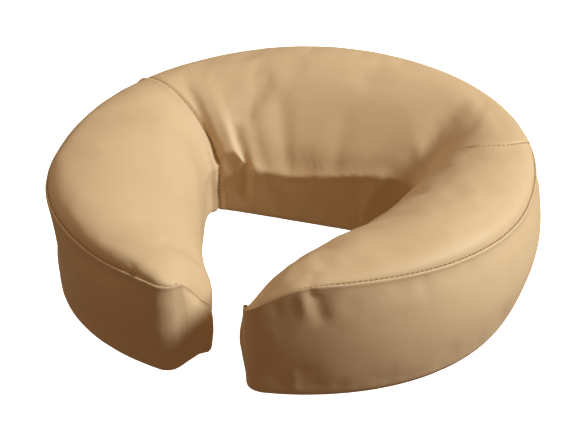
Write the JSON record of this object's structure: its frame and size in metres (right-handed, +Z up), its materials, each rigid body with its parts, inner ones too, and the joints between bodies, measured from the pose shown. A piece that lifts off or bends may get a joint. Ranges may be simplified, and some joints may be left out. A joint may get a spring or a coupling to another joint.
{
  "type": "face cradle cushion",
  "caption": "Crescent face cradle cushion: sewn faux-leather cover over layered foam, with an open face hole, a gap at the chin, loop tape and a zip on the underside.",
  "frame": {"origin": "on the plane that the loop tape rests on, under the middle of the cushion's box", "axes": "+Z up, +Y towards the crown (forehead), -Y through the gap between the two tips (chin), +X to the wearer-independent right when seen from the gap side"},
  "size_m": [0.3038, 0.292, 0.0925],
  "materials": {
    "cover": "smooth cream faux leather, soft satin",
    "underside": "plain woven backing cloth, matt",
    "base_foam": "firm open-cell foam, matt",
    "comfort_foam": "soft slow-recovery foam, matt",
    "thread": "bonded polyester sewing thread",
    "loop_tape": "fuzzy loop pile",
    "zip_tape": "ribbed polyester tape",
    "zip_coil": "nylon coil",
    "zip_metal": "polished die-cast metal"
  },
  "bodies": {
    "cushion": {"left_cheek_panel": "cover", "crown_panel": "cover", "right_cheek_panel": "cover", "outer_side_band": "cover", "bottom_panel": "underside", "base_foam": "base_foam", "comfort_foam": "comfort_foam", "rim_seam_thread": "thread", "radial_thread_left": "thread", "radial_thread_right": "thread", "bottom_seam_thread": "thread", "loop_strip_left": "loop_tape", "loop_strip_right": "loop_tape", "loop_strip_crown": "loop_tape", "zip_tape_front": "zip_tape", "zip_tape_rear": "zip_tape", "zip_coil_front": "zip_coil", "zip_coil_rear": "zip_coil", "zip_end_stop_left": "zip_metal", "zip_end_stop_right": "zip_metal"},
    "zip_slider": {"zip_slider": "zip_metal"},
    "zip_pull": {"zip_pull_tab": "zip_metal"}
  },
  "joints": [
    {"name": "zip_travel", "type": "slide", "parent": "cushion", "child": "zip_slider", "axis": [-1, 0, 0], "range_m": [0, 0.116]},
    {"name": "pull_tab_hinge", "type": "hinge", "parent": "zip_slider", "child": "zip_pull", "pos_m": [0.058, 0.10697, 0.00175], "axis": [0, 1, 0], "range_deg": [0, 180]}
  ]
}
